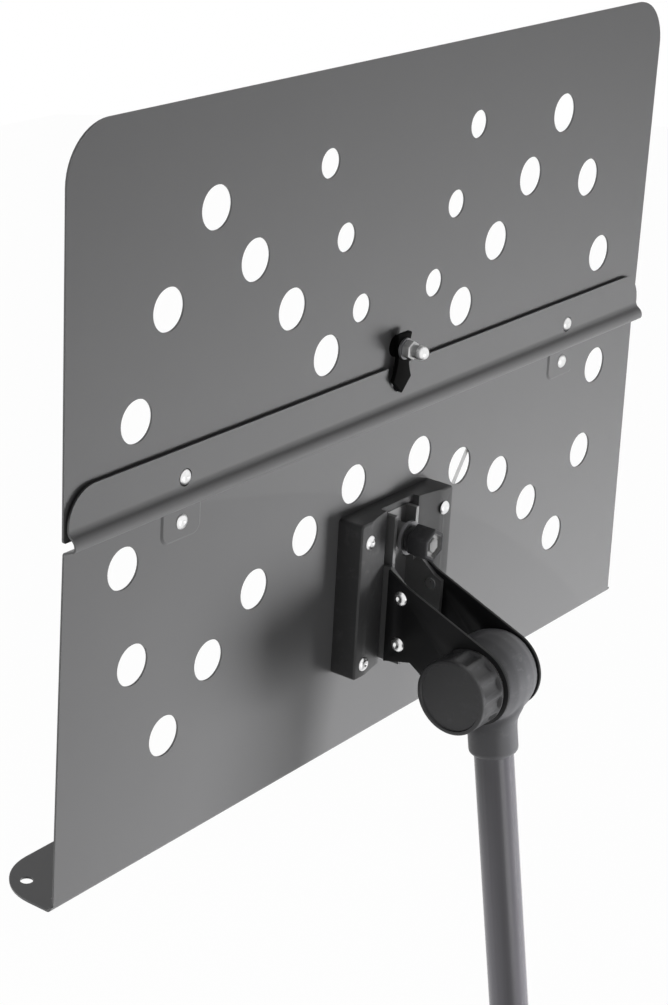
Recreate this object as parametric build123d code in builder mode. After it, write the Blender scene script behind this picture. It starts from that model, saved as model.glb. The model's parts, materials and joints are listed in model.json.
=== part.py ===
"""Orchestra music stand with a folding perforated desk, a tilting fork arm, a telescoping mast and swing-out legs.

Millimetres. +Z is up, -Y is the reader's side, and the origin is on the floor under the middle of the stand.
Desk coordinates: u runs across the desk (towards -X), v runs up the desk, n runs backwards from its rear face.
"""

import os
from math import asin, atan2, cos, hypot, radians, sin, sqrt, tan

from build123d import *

os.makedirs("parts", exist_ok=True)

# ---- Fits and clearances -------------------------------------------------------------------------------------
fit = 0.08  # radial running fit of a shaft in its bore
seat = 0.02  # radial gap of a pressed or glued seat
gap = 0.3  # air between pieces that move past each other
face_gap = 0.1  # air between flat faces that turn on each other

# ---- Desk ----------------------------------------------------------------------------------------------------
desk_lean = 9.0  # degrees back from upright
sheet = 1.0
upper_width = 466.0
upper_bottom = 41.4
desk_top = 217.0
upper_corner = 25.0
fold_width = 463.4  # lower panel, across the bead
lower_width = 475.0  # lower panel, at the lip
lip_bottom = -132.8
lip_width = 478.0
lip_depth = 41.0
lip_corner = 27.0
lip_hole_inset = 12.2
lip_hole_front = 26.3
lip_hole_radius = 3.0
pin_hole_inset = 9.2
pin_hole_front = 6.6
pin_hole_radius = 1.3
bend_radius = 1.5
bead_low = 36.8
bead_high = 45.9
bead_height = 6.5
bead_rake = 2.7  # how far up the ridge's underside leans
bead_nose_radius = 1.8
bead_fall = 3.0  # run of the slope from the ridge to the strip
bead_radius = 4.0
bead_root = 1.2
strip_top = 65.0
strip_corner = 16.0
strip_gap = 1.2

big_hole = 10.0
small_hole = 7.0
inner_pitch = 40.0
outer_pitch = 49.0
lower_pitch = 40.8
upper_row_start = (55.6, 82.4)
upper_row_headings = (45.5, 45.5, 45.5)
upper_end_headings = (-52.4, -67.1)
small_row_start = (29.9, 99.9)
small_row_headings = (67.9, 67.9)
lower_row_start = (27.8, 10.4)
lower_row_headings = (-23.0, -22.0, -38.2, -42.0)
lower_end_headings = (62.6, 81.4)

# ---- Desk hinges ---------------------------------------------------------------------------------------------
hinge_inset = 75.0  # from the side of the upper panel
hinge_front = 2.3  # hinge axis, in front of the rear face
hinge_v = 39.2
knuckle_radius = 2.2
hinge_pin_radius = 1.1
leaf = 1.0
leaf_width = 22.0
leaf_middle = 9.0  # length of the middle knuckle
lower_leaf_v = 22.5
upper_leaf_v = 60.0
lower_rivet_v = 29.7
upper_rivet_v = 51.0
emboss_depth = 0.7
emboss_corner = 6.0
emboss_taper = 60.0  # slope of the pad's walls, degrees off square
rivet_shank = 1.6
rivet_head_radius = 3.6
rivet_head = 1.3
rivet_edge = 0.25  # straight edge of the head, under its dome
rivet_tail_share = 0.8  # tail radius over head radius
rivet_tail = 0.5
strip_hole = 4.1

# ---- Desk latch ----------------------------------------------------------------------------------------------
latch_v = 74.5
latch_shank = 2.5
latch_head_radius = 5.5
latch_head = 2.0
latch_spacer = 2.9
latch_collar_radius = 5.3
latch_plate = 2.4
latch_plate_width = 14.6
latch_plate_above = 7.5
latch_plate_below = 23.0
latch_tip_start = 15.6  # below the bolt, where the slanted edges of the tip start
latch_waist = 2.6
latch_round = 0.8
latch_washer = 1.2
latch_hex = 4.4
latch_hex_radius = 4.9
latch_dome_radius = 3.9
latch_dome = 8.0
latch_dome_flat = 0.3  # radius of the flat left at its top

# ---- Dock on the lower panel ---------------------------------------------------------------------------------
dock_width = 77.5
dock_top = -4.6
dock_bottom = -87.2
dock_depth = 14.4
dock_wall = 2.6
dock_corner = 2.0
dock_dish = 3.6
dock_dish_half = 31.0
dock_floor = 4.5  # channel floor, from the desk's rear face
dock_rivet_u = 31.6
dock_rivet_high = -15.0
dock_rivet_low = -80.0
dock_rivet_head_radius = 3.6
dock_boss_radius = 6.0
dock_stop = 3.4  # length of the stop rib at the top of the channel

# ---- Fork arm ------------------------------------------------------------------------------------------------
fork_sheet = 2.3
fork_half = 13.2  # outside of the folded bracket
tongue_half = 10.2
tongue_wall = 13.4  # how far the tongue's side walls reach back
bracket_split = -34.0  # v where the tongue meets the wide part
fork_bottom = -84.0
arm_plate = 1.6
arm_rivet_n = 22.8
arm_rivet_high = -47.5
arm_rivet_low = -72.5
arm_rivet_radius = 2.4
arm_rivet_head_radius = 3.7
arm_rivet_dimple = 0.42  # dimple radius over head radius
flange_reach = 29.0
arm_top_v = -34.5
arm_shoulder = (24.5, -40.0)
arm_notch = (30.7, -80.0)
pivot_n = 68.2
pivot_v = -79.5
arm_end_radius = 20.8

clamp_v = -21.5
clamp_stud = 2.9
clamp_boss_radius = 6.5
clamp_boss_top = 14.6
clamp_washer_radius = 8.6
clamp_washer = 1.9
clamp_collar_radius = 7.2
clamp_collar = 2.8
clamp_knob_radius = 8.9
clamp_knob_flats = 15.8
clamp_knob_length = 11.4
clamp_knob_bevel = 0.8

# ---- Tilt head -----------------------------------------------------------------------------------------------
pivot_height = 835.0
head_width = 23.4
head_radius = 20.3
head_socket_radius = 12.5
head_drop = 41.2  # pivot to the lower end of the socket
head_shoulder = 24.0  # pivot to the top of the full round socket
head_chamfer = 2.3
head_ledge = 2.2
neck_blend = 8.0
socket_depth = 24.0
tilt_bolt_radius = 4.0
tilt_bolt_head_radius = 9.0
tilt_bolt_head = 4.0
tilt_bolt_short = 1.0  # end of the bolt, below the knob's rim
friction_washer = 1.4
friction_washer_radius = 18.4
knob_washer = 1.7
knob_washer_radius = 18.2
tilt_knob_radius = 19.2
tilt_knob_face = 34.6  # from the middle plane to the knob's face
knob_rim = 2.6
knob_rim_round = 1.2
knob_floor = 0.8  # of the blind bore, below the rim
knob_flutes = 12
knob_flute_radius = 4.6
knob_flute_depth = 1.5
head_screw_radius = 2.5
head_screw_sink = 0.3
head_screw_hex_radius = 1.4
head_screw_hex_depth = 1.5

# ---- Mast ----------------------------------------------------------------------------------------------------
upper_tube_radius = 10.0
tube_wall = 1.5
upper_tube_length = 560.0
lower_tube_radius = 12.5
lower_tube_top = 560.0
guide_flange = 6.0
guide_plug = 26.0

# ---- Height clutch -------------------------------------------------------------------------------------------
clutch_radius = 18.5
clutch_below = 46.0
clutch_cap = 6.0
clutch_top_round = 2.5
clutch_bottom_round = 1.5
clutch_boss_round = 1.0
liner_length = 34.0
clutch_screw_drop = 22.0  # below the top of the lower tube
clutch_boss_radius = 9.0
clutch_boss_reach = 27.0
shoe_radius = 3.8
shoe_length = 4.0
height_stud = 2.92
height_knob_radius = 16.0
height_knob_length = 15.0
height_knob_flutes = 10

# ---- Base ----------------------------------------------------------------------------------------------------
foot_reach = 265.0  # mast axis to the middle of each foot
foot_radius = 12.0
foot_height = 29.0
foot_sleeve = 28.0
foot_round = 3.0
foot_bevel = 1.0
leg_high = 15.0
leg_wide = 12.0
leg_wall = 1.5
leg_corner = 3.0
leg_tip_height = 19.0
leg_straight = 60.0
leg_slope_end = 226.0
leg_bend = 45.0
ring_radius = 22.0
ring_height = 16.0
ring_gap = 0.4
journal_radius = 12.6
stack_bottom = 24.2
spindle_flange = 6.4
spindle_bevel = 1.2
spigot_length = 30.0
nut_thread = 6.0
nut_height = 8.4
nut_across = 19.0
washer_height = 2.2
washer_radius = 20.0
leg_angles = {"front": -90.0, "right": 30.0, "left": 150.0}

# ---- Page wires ----------------------------------------------------------------------------------------------
wire_radius = 0.9
wire_pivot_u = 7.0
wire_pivot_v = -120.0
wire_eye = 3.1  # mean radius of the eye
wire_knee = (3.7, -102.5)
wire_heading = 55.0
wire_length = 137.0
wire_bend = 12.0
wire_front = 2.7  # wire's centre line, in front of the rear face
wire_fold = 52.0  # how far the left wire lies folded down, in degrees
pivot_shank = 2.1
pivot_weld_radius = 3.2
pivot_head_radius = 4.6
pivot_head = 1.0

# ---- Frames worked out from the sizes above ------------------------------------------------------------------
lean = radians(desk_lean)
BACK = Vector(0, cos(lean), -sin(lean))
UP_DESK = Vector(0, sin(lean), cos(lean))
mast_y = foot_reach / 4  # puts the middle of the three feet on the origin
PIVOT = Vector(0, mast_y, pivot_height)
DESK = PIVOT - BACK * pivot_n - UP_DESK * pivot_v
hinge_u = upper_width / 2 - hinge_inset
lip_hole_u = lip_width / 2 - lip_hole_inset
pin_hole_u = lip_width / 2 - pin_hole_inset
arm_inner = fork_half + face_gap
arm_outer = arm_inner + arm_plate
hands = {"left": 1, "right": -1}  # the reader's left hand is on the +u side


def desk_plane(n=0.0):
    """Sketches (u, v); positive extrusion goes backwards."""
    return Plane(origin=DESK + BACK * n, x_dir=(-1, 0, 0), z_dir=BACK)


def side_plane(x=0.0):
    """Sketches (n, v) on a plane across the desk; positive extrusion goes towards +X."""
    return Plane(origin=DESK + Vector(x, 0, 0), x_dir=BACK, z_dir=(1, 0, 0))


def level_plane(v):
    """Sketches (u, distance in front) on a plane square to the desk; positive extrusion goes up the desk."""
    return Plane(origin=DESK + UP_DESK * v, x_dir=(-1, 0, 0), z_dir=UP_DESK)


def pivot_plane(x=0.0):
    """Sketches (y, z) from the tilt pivot; positive extrusion goes towards +X."""
    return Plane(origin=PIVOT + Vector(x, 0, 0), x_dir=(0, 1, 0), z_dir=(1, 0, 0))


def mast_plane(z):
    """Sketches on the mast axis at a height; positive extrusion goes up."""
    return Plane(origin=(0, mast_y, z))


def radial_plane(angle, z=0.0):
    """Sketches (distance from the mast, height) in the plane of one leg."""
    a = radians(angle)
    return Plane(origin=(0, mast_y, z), x_dir=(cos(a), sin(a), 0), z_dir=(sin(a), -cos(a), 0))


def walk(start, pitch, headings):
    """Points from start, one pitch apart along each heading in turn."""
    points = [start]
    for heading in headings:
        u, v = points[-1]
        points.append((u + pitch * cos(radians(heading)), v + pitch * sin(radians(heading))))
    return points


def mirrored(points):
    return points + [(-u, v) for u, v in points]


def tangent_point(point, centre, radius, side):
    """Where the line from a point touches a circle; side is 1 or -1."""
    du, dv = centre[0] - point[0], centre[1] - point[1]
    reach = hypot(du, dv)
    angle = atan2(dv, du) + side * asin(radius / reach)
    run = sqrt(reach**2 - radius**2)
    return (point[0] + run * cos(angle), point[1] + run * sin(angle))


def cylinder(plane, radius, length, hole=0.0):
    """One round bar or ring, added to the part in hand."""
    with BuildSketch(plane) as disc:
        Circle(radius)
        if hole:
            Circle(hole, mode=Mode.SUBTRACT)
    extrude(disc.sketch, amount=length)


def save(part, name):
    part.label = name
    export_step(part, f"parts/{name}.step")
    print(name, round(part.volume, 1))


def latch_outline():
    """Latch plate seen from behind, about its bolt: square top, drawn-in waist and pointed tip."""
    half = latch_plate_width / 2
    waist = (half - latch_waist, -latch_tip_start / 2)
    with BuildSketch(mode=Mode.PRIVATE) as outline:
        with BuildLine():
            tip = Polyline(
                (-half, -latch_tip_start),
                (0, -latch_plate_below),
                (half, -latch_tip_start),
            )
            right = Spline(tip @ 1, waist, (half - latch_waist / 2, latch_plate_above))
            top = Line(right @ 1, (-half + latch_waist / 2, latch_plate_above))
            Spline(top @ 1, (-waist[0], waist[1]), tip @ 0)
        make_face()
        fillet(outline.vertices(), latch_round)
    return outline.sketch


# ---- Lower panel: lip, flat, bead and backing strip are one folded sheet -------------------------------------
half_sheet = sheet / 2
lip_mid = lip_bottom + half_sheet
strip_mid = strip_gap + half_sheet
bead_peak = bead_height - half_sheet
upper_holes = walk(upper_row_start, inner_pitch, upper_row_headings)
upper_holes += walk(upper_holes[-1], outer_pitch, upper_end_headings)[1:]
small_holes = walk(small_row_start, inner_pitch, small_row_headings)
lower_holes = walk(lower_row_start, lower_pitch, lower_row_headings)
lower_holes += walk(lower_holes[-1], outer_pitch, lower_end_headings)[1:]
dock_rivets = [(side * dock_rivet_u, v) for side in (1, -1) for v in (dock_rivet_high, dock_rivet_low)]
latch_plate_n = latch_spacer + face_gap
emboss_run = (half_sheet + emboss_depth) * tan(radians(emboss_taper))
emboss_low = lower_leaf_v - gap - emboss_run
emboss_width = leaf_width + 2 * (gap + sheet + emboss_run)
emboss_pocket = bead_low + 2 * sheet - lower_leaf_v + gap

with BuildPart() as lower_outline:
    with BuildSketch(desk_plane(-sheet * 3)):
        with BuildLine():
            Polyline(
                (-lower_width / 2, lip_bottom - sheet),
                (lower_width / 2, lip_bottom - sheet),
                (fold_width / 2, strip_top),
                (-fold_width / 2, strip_top),
                close=True,
            )
        make_face()
        fillet(vertices().group_by(Axis.Y)[-1], strip_corner)
    extrude(amount=sheet * 3 + bead_height + sheet)
    with BuildSketch(level_plane(lip_bottom - sheet)):
        with Locations((0, (lip_depth - sheet) / 2)):
            Rectangle(lip_width, lip_depth + sheet)
        fillet(vertices().group_by(Axis.Y)[-1], lip_corner)
    extrude(amount=sheet * 2 + bend_radius)

with BuildPart() as pads:
    # raised pads that take the lower hinge leaves, as far up as the bead
    with BuildSketch(desk_plane(-half_sheet)):
        with Locations(*[(side * hinge_u, emboss_low) for side in (1, -1)]):
            RectangleRounded(
                emboss_width, strip_top - emboss_low, emboss_corner, align=(Align.CENTER, Align.MIN)
            )
    extrude(amount=half_sheet + emboss_depth, taper=emboss_taper)
    split(bisect_by=level_plane(bead_low + sheet), keep=Keep.BOTTOM)

with BuildPart() as lower_panel:
    with BuildSketch(side_plane()):
        with BuildLine():
            FilletPolyline(
                (-lip_depth, lip_mid),
                (-half_sheet, lip_mid),
                (-half_sheet, bead_low),
                (bead_peak, bead_low + bead_rake),
                (bead_peak, bead_high - bead_fall),
                (strip_mid, bead_high),
                (strip_mid, strip_top),
                radius=[bend_radius + half_sheet, bead_root, bead_nose_radius, bead_radius, bead_radius],
            )
        trace(line_width=sheet)
    extrude(amount=lip_width, both=True)
    add(lower_outline.part, mode=Mode.INTERSECT)
    add(pads.part)
    with BuildSketch(desk_plane(-sheet)):
        with Locations(*[(side * hinge_u, lower_leaf_v - gap) for side in (1, -1)]):
            Rectangle(leaf_width + 2 * gap, emboss_pocket, align=(Align.CENTER, Align.MIN))
    extrude(amount=emboss_depth, mode=Mode.SUBTRACT)
    # perforation, rivet holes, access holes in the strip and the notch that the latch plate swings through
    with BuildSketch(desk_plane(-2 * sheet)):
        with Locations(*mirrored(lower_holes)):
            Circle(big_hole)
        with Locations(*[(side * hinge_u, lower_rivet_v) for side in (1, -1)]):
            Circle(rivet_shank + seat)
        with Locations(*dock_rivets):
            Circle(rivet_shank + seat)
    extrude(amount=2 * sheet + emboss_depth + gap, mode=Mode.SUBTRACT)
    with BuildSketch(desk_plane(strip_gap - gap)):
        with Locations(*[(side * hinge_u, upper_rivet_v) for side in (1, -1)]):
            Circle(strip_hole)
        with Locations((0, latch_v)):
            add(offset(latch_outline(), amount=gap, mode=Mode.PRIVATE))
            Rectangle(latch_plate_width + 2 * gap, latch_tip_start, align=(Align.CENTER, Align.MAX))
    extrude(amount=2 * sheet, mode=Mode.SUBTRACT)
    with BuildSketch(level_plane(lip_bottom - sheet)):
        with Locations(*[(side * lip_hole_u, lip_hole_front) for side in (1, -1)]):
            Circle(lip_hole_radius)
        with Locations(*[(side * pin_hole_u, pin_hole_front) for side in (1, -1)]):
            Circle(pin_hole_radius)
    extrude(amount=sheet * 3, mode=Mode.SUBTRACT)
save(lower_panel.part, "lower_panel")

# ---- Upper panel ---------------------------------------------------------------------------------------------
with BuildPart() as upper_panel:
    with BuildSketch(desk_plane(-sheet)):
        with Locations((0, (upper_bottom + desk_top) / 2)):
            Rectangle(upper_width, desk_top - upper_bottom)
        fillet(vertices().group_by(Axis.Y)[-1], upper_corner)
        fillet(vertices().group_by(Axis.Y)[0], bend_radius)
        with Locations(*mirrored(upper_holes)):
            Circle(big_hole, mode=Mode.SUBTRACT)
        with Locations(*mirrored(small_holes)):
            Circle(small_hole, mode=Mode.SUBTRACT)
        with Locations(*[(side * hinge_u, upper_rivet_v) for side in (1, -1)]):
            Circle(rivet_shank + seat, mode=Mode.SUBTRACT)
        with Locations((0, latch_v)):
            Circle(latch_shank + seat, mode=Mode.SUBTRACT)
    extrude(amount=sheet)
save(upper_panel.part, "upper_panel")

# ---- Desk hinges: each leaf is a plate rolled into knuckles round a pin --------------------------------------
knuckle_end = (leaf_width - leaf_middle) / 2
for hand, side in hands.items():
    hinge_x = -side * hinge_u
    with BuildPart() as lower_leaf:
        with BuildSketch(side_plane(hinge_x - leaf_width / 2)):
            with Locations((-sheet + emboss_depth, lower_leaf_v)):
                Rectangle(leaf, hinge_v - lower_leaf_v, align=(Align.MAX, Align.MIN))
            with Locations((-hinge_front, hinge_v)):
                Circle(knuckle_radius)
        extrude(amount=leaf_width)
        with BuildSketch(side_plane(hinge_x - leaf_middle / 2 - gap)):
            with Locations((-hinge_front, hinge_v)):
                Circle(knuckle_radius + gap)
        extrude(amount=leaf_middle + 2 * gap, mode=Mode.SUBTRACT)
        with BuildSketch(side_plane(hinge_x - leaf_width / 2)):
            with Locations((-hinge_front, hinge_v)):
                Circle(hinge_pin_radius + seat)
        extrude(amount=leaf_width, mode=Mode.SUBTRACT)
        with BuildSketch(desk_plane(-2 * sheet)):
            with Locations((side * hinge_u, lower_rivet_v)):
                Circle(rivet_shank + seat)
        extrude(amount=3 * sheet, mode=Mode.SUBTRACT)
    save(lower_leaf.part, f"hinge_lower_leaf_{hand}")

    with BuildPart() as upper_leaf:
        with BuildSketch(side_plane(hinge_x - leaf_width / 2)):
            with Locations((-sheet, upper_leaf_v)):
                Rectangle(leaf, upper_leaf_v - hinge_v, align=(Align.MAX, Align.MAX))
        extrude(amount=leaf_width)
        with BuildSketch(side_plane(hinge_x - leaf_width / 2)):
            with Locations((-hinge_front, hinge_v)):
                Circle(knuckle_radius + gap)
        extrude(amount=leaf_width, mode=Mode.SUBTRACT)
        with BuildSketch(side_plane(hinge_x - leaf_middle / 2)):
            with Locations((-hinge_front, hinge_v)):
                Circle(knuckle_radius)
            with Locations((-sheet, hinge_v + knuckle_radius + sheet)):
                Rectangle(leaf, knuckle_radius + sheet, align=(Align.MAX, Align.MAX))
        extrude(amount=leaf_middle)
        with BuildSketch(side_plane(hinge_x - leaf_width / 2)):
            with Locations((-hinge_front, hinge_v)):
                Circle(hinge_pin_radius + fit)
        extrude(amount=leaf_width, mode=Mode.SUBTRACT)
        with BuildSketch(desk_plane(-3 * sheet)):
            with Locations((side * hinge_u, upper_rivet_v)):
                Circle(rivet_shank + seat)
        extrude(amount=3 * sheet, mode=Mode.SUBTRACT)
    save(upper_leaf.part, f"hinge_upper_leaf_{hand}")

with BuildPart() as hinge_pins:
    for side in (1, -1):
        with BuildSketch(side_plane(-side * hinge_u - leaf_width / 2)):
            with Locations((-hinge_front, hinge_v)):
                Circle(hinge_pin_radius)
        extrude(amount=leaf_width)
save(hinge_pins.part, "hinge_pins")


def rivet(seat_point, out, grip, head_radius, shank, dimple=0.3, edge=rivet_edge):
    """Blind rivet: a domed head with a mandrel dimple on its seat, and a set tail at the far side of its grip."""
    across = Vector(-1, 0, 0) if abs(out.X) < 0.5 else Vector(0, 1, 0)
    tail_radius = head_radius * rivet_tail_share
    with BuildSketch(Plane(origin=seat_point, x_dir=across, z_dir=across.cross(out))) as half_rivet:
        with BuildLine():
            dome = Polyline(
                (0, edge + rivet_head * 0.5),
                (0, -grip - rivet_tail),
                (tail_radius, -grip - rivet_tail),
                (tail_radius, -grip),
                (shank, -grip),
                (shank, 0),
                (head_radius, 0),
                (head_radius, edge),
            )
            shoulder = (head_radius * 0.8, edge + rivet_head * 0.62)
            top = ThreePointArc(dome @ 1, shoulder, (head_radius * dimple, edge + rivet_head))
            Line(top @ 1, dome @ 0)
        make_face()
    revolve(half_rivet.sketch, axis=Axis(seat_point, out))


def desk_rivets(spots, head_n, tail_n, head_radius, edge=rivet_edge):
    """Rivets square to the desk, with their heads behind."""
    for u, v in spots:
        seat_point = DESK + BACK * head_n + UP_DESK * v - Vector(u, 0, 0)
        rivet(seat_point, BACK, head_n - tail_n, head_radius, rivet_shank, edge=edge)


with BuildPart() as hinge_rivets_lower:
    lower_rivets = [(side * hinge_u, lower_rivet_v) for side in (1, -1)]
    desk_rivets(lower_rivets, emboss_depth, emboss_depth - sheet - leaf, rivet_head_radius)
save(hinge_rivets_lower.part, "hinge_rivets_lower")

with BuildPart() as hinge_rivets_upper:
    upper_rivets = [(side * hinge_u, upper_rivet_v) for side in (1, -1)]
    desk_rivets(upper_rivets, 0, -sheet - leaf, rivet_head_radius, edge=strip_gap + sheet)
save(hinge_rivets_upper.part, "hinge_rivets_upper")

# ---- Desk latch: bolt through the upper panel, turning plate behind the strip, domed nut ---------------------
latch_plate_back = latch_plate_n + latch_plate
latch_nut_n = latch_plate_back + face_gap + latch_washer


def latch_plane(n):
    return Plane(origin=DESK + UP_DESK * latch_v + BACK * n, x_dir=(-1, 0, 0), z_dir=BACK)


with BuildPart() as latch_bolt:
    cylinder(latch_plane(-sheet), latch_shank, latch_nut_n + latch_hex + sheet)
    cylinder(latch_plane(-sheet), latch_head_radius, -latch_head)
    fillet(edges().filter_by(GeomType.CIRCLE).sort_by(Axis.Y)[0], latch_head * 0.6)
save(latch_bolt.part, "latch_bolt")

with BuildPart() as latch_spacer_ring:
    cylinder(latch_plane(0), latch_collar_radius, latch_spacer, latch_shank + seat)
save(latch_spacer_ring.part, "latch_spacer")

with BuildPart() as latch_lever:
    with BuildSketch(latch_plane(latch_plate_n)):
        add(latch_outline())
        Circle(latch_shank + fit, mode=Mode.SUBTRACT)
    extrude(amount=latch_plate)
save(latch_lever.part, "latch_plate")

with BuildPart() as latch_washer_ring:
    cylinder(latch_plane(latch_plate_back + face_gap), latch_collar_radius, latch_washer, latch_shank + seat)
save(latch_washer_ring.part, "latch_washer")

with BuildPart() as latch_nut:
    with BuildSketch(latch_plane(latch_nut_n)):
        RegularPolygon(latch_hex_radius, 6)
    extrude(amount=latch_hex)
    chamfer(faces().sort_by(Axis.Y)[0].edges(), 0.4)
    cylinder(latch_plane(latch_nut_n), latch_dome_radius, latch_hex + latch_dome)
    fillet(faces().sort_by(Axis.Y)[-1].edges(), latch_dome_radius - latch_dome_flat)
    cylinder_hole = latch_hex + face_gap
    with BuildSketch(latch_plane(latch_nut_n)):
        Circle(latch_shank + seat)
    extrude(amount=cylinder_hole, mode=Mode.SUBTRACT)
save(latch_nut.part, "latch_nut")

# ---- Dock: moulded block with a channel for the fork bracket, hollow on the desk's side ----------------------
channel_half = fork_half + gap + 0.2
dish_radius = (dock_dish_half**2 - channel_half**2) / (2 * dock_dish)
dish_axis_n = dock_depth + sqrt(dish_radius**2 - dock_dish_half**2)
pocket_outer = dock_width / 2 - dock_wall
pocket_inner = channel_half + dock_wall
dock_middle = (dock_top + dock_bottom) / 2

with BuildPart() as dock:
    with BuildSketch(desk_plane()):
        with Locations((0, dock_middle)):
            RectangleRounded(dock_width, dock_top - dock_bottom, dock_corner)
    extrude(amount=dock_depth)
    chamfer(faces().sort_by(Axis.Y)[-1].edges(), clamp_knob_bevel)
    with BuildSketch(level_plane(dock_bottom - gap)):
        with Locations((0, -dish_axis_n)):
            Circle(dish_radius)
        with Locations((0, -dock_floor)):
            Rectangle(2 * channel_half, dock_depth, align=(Align.CENTER, Align.MAX))
    extrude(amount=dock_top - dock_bottom + 2 * gap, mode=Mode.SUBTRACT)
    # stop rib that the end of the fork's tongue rests against
    with BuildSketch(desk_plane(dock_floor - 1)):
        with Locations((0, dock_top)):
            Rectangle(2 * channel_half + 1, dock_stop, align=(Align.CENTER, Align.MAX))
    extrude(amount=1 + fork_sheet + gap)
    # hollow underside, with a boss round each rivet
    with BuildSketch(desk_plane()):
        for side in (1, -1):
            with Locations((side * (pocket_outer + pocket_inner) / 2, dock_middle)):
                Rectangle(pocket_outer - pocket_inner, dock_top - dock_bottom - 2 * dock_wall)
        with Locations(*dock_rivets):
            Circle(dock_boss_radius, mode=Mode.SUBTRACT)
    extrude(amount=dock_depth - dock_dish - dock_wall, mode=Mode.SUBTRACT)
    with BuildSketch(desk_plane()):
        with Locations(*dock_rivets):
            Circle(rivet_shank + seat)
    extrude(amount=dock_depth + gap, mode=Mode.SUBTRACT)
save(dock.part, "dock")

with BuildPart() as dock_rivet_set:
    desk_rivets(dock_rivets, dock_depth, -sheet, dock_rivet_head_radius)
save(dock_rivet_set.part, "dock_rivets")

# ---- Fork bracket: a folded channel whose narrow tongue slides up into the dock ------------------------------
web_n = dock_floor + gap
tongue_top = dock_top - dock_stop - 0.2


def channel_section(outer_half, reach):
    """U section on a level plane: web on the desk's side, walls reaching backwards."""
    with Locations((0, -web_n)):
        Rectangle(2 * outer_half, reach - web_n, align=(Align.CENTER, Align.MAX))
    with Locations((0, -web_n - fork_sheet)):
        Rectangle(2 * (outer_half - fork_sheet), reach, align=(Align.CENTER, Align.MAX), mode=Mode.SUBTRACT)


with BuildPart() as fork_bracket:
    with BuildSketch(level_plane(bracket_split - fork_sheet)):
        channel_section(tongue_half, tongue_wall)
    extrude(amount=tongue_top - bracket_split + fork_sheet)
    with BuildSketch(level_plane(fork_bottom)):
        channel_section(fork_half, flange_reach)
    extrude(amount=bracket_split - fork_bottom)
    # flange corners cut back to the line of the arm plates
    with BuildSketch(side_plane(-fork_half - gap)):
        with BuildLine():
            Polyline(
                (web_n + fork_sheet + gap, bracket_split + gap),
                (dock_depth, bracket_split),
                (arm_shoulder[0], arm_shoulder[1] - fork_sheet),
                (flange_reach + gap, arm_shoulder[1] - 2 * fork_sheet),
                (flange_reach + gap, bracket_split + gap),
                close=True,
            )
        make_face()
        with BuildLine():
            Polyline(
                (arm_rivet_n, fork_bottom - gap),
                (arm_rivet_n, fork_bottom + fork_sheet),
                (flange_reach + gap, arm_notch[1] + fork_sheet),
                (flange_reach + gap, fork_bottom - gap),
                close=True,
            )
        make_face()
    extrude(amount=2 * (fork_half + gap), mode=Mode.SUBTRACT)
    with BuildSketch(side_plane(-fork_half - gap)):
        with Locations((arm_rivet_n, arm_rivet_high), (arm_rivet_n, arm_rivet_low)):
            Circle(arm_rivet_radius + seat)
    extrude(amount=2 * (fork_half + gap), mode=Mode.SUBTRACT)
    # threaded boss for the clamp stud
    with BuildSketch(Plane(origin=DESK + UP_DESK * clamp_v + BACK * web_n, x_dir=(-1, 0, 0), z_dir=BACK)):
        Circle(clamp_boss_radius)
    extrude(amount=clamp_boss_top - web_n)
    with BuildSketch(Plane(origin=DESK + UP_DESK * clamp_v + BACK * web_n, x_dir=(-1, 0, 0), z_dir=BACK)):
        Circle(clamp_stud + fit)
    extrude(amount=clamp_boss_top - web_n, mode=Mode.SUBTRACT)
save(fork_bracket.part, "fork_bracket")

# ---- Arm plates: one each side, riveted to the bracket and rounded off round the tilt pivot ------------------
arm_start = dock_depth + gap
top_touch = tangent_point(arm_shoulder, (pivot_n, pivot_v), arm_end_radius, 1)
low_touch = tangent_point(arm_notch, (pivot_n, pivot_v), arm_end_radius, -1)
for hand, side in hands.items():
    plate_x = -arm_outer if side > 0 else arm_inner
    with BuildPart() as arm:
        with BuildSketch(side_plane(plate_x)):
            with BuildLine():
                Polyline((arm_start, fork_bottom), (arm_start, arm_top_v), arm_shoulder, top_touch)
                ThreePointArc(top_touch, (pivot_n + arm_end_radius, pivot_v), low_touch)
                Polyline(low_touch, arm_notch, (arm_start, fork_bottom))
            make_face()
            with Locations((arm_rivet_n, arm_rivet_high), (arm_rivet_n, arm_rivet_low)):
                Circle(arm_rivet_radius + seat, mode=Mode.SUBTRACT)
            with Locations((pivot_n, pivot_v)):
                Circle(tilt_bolt_radius + seat, mode=Mode.SUBTRACT)
        extrude(amount=arm_plate)
    save(arm.part, f"arm_plate_{hand}")

with BuildPart() as arm_rivets:
    for side in (1, -1):
        for v in (arm_rivet_high, arm_rivet_low):
            out = Vector(side, 0, 0)
            seat_point = DESK + BACK * arm_rivet_n + UP_DESK * v + out * arm_outer
            grip = arm_outer - fork_half + fork_sheet
            rivet(seat_point, out, grip, arm_rivet_head_radius, arm_rivet_radius, arm_rivet_dimple)
save(arm_rivets.part, "arm_rivets")

# ---- Clamp knob and its washer -------------------------------------------------------------------------------
def clamp_plane(n):
    return Plane(origin=DESK + UP_DESK * clamp_v + BACK * n, x_dir=(-1, 0, 0), z_dir=BACK)


clamp_knob_n = clamp_boss_top + clamp_washer + 2 * face_gap
with BuildPart() as clamp_washer_ring:
    cylinder(clamp_plane(clamp_boss_top), clamp_washer_radius, clamp_washer, clamp_stud + seat)
save(clamp_washer_ring.part, "clamp_washer")

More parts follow.
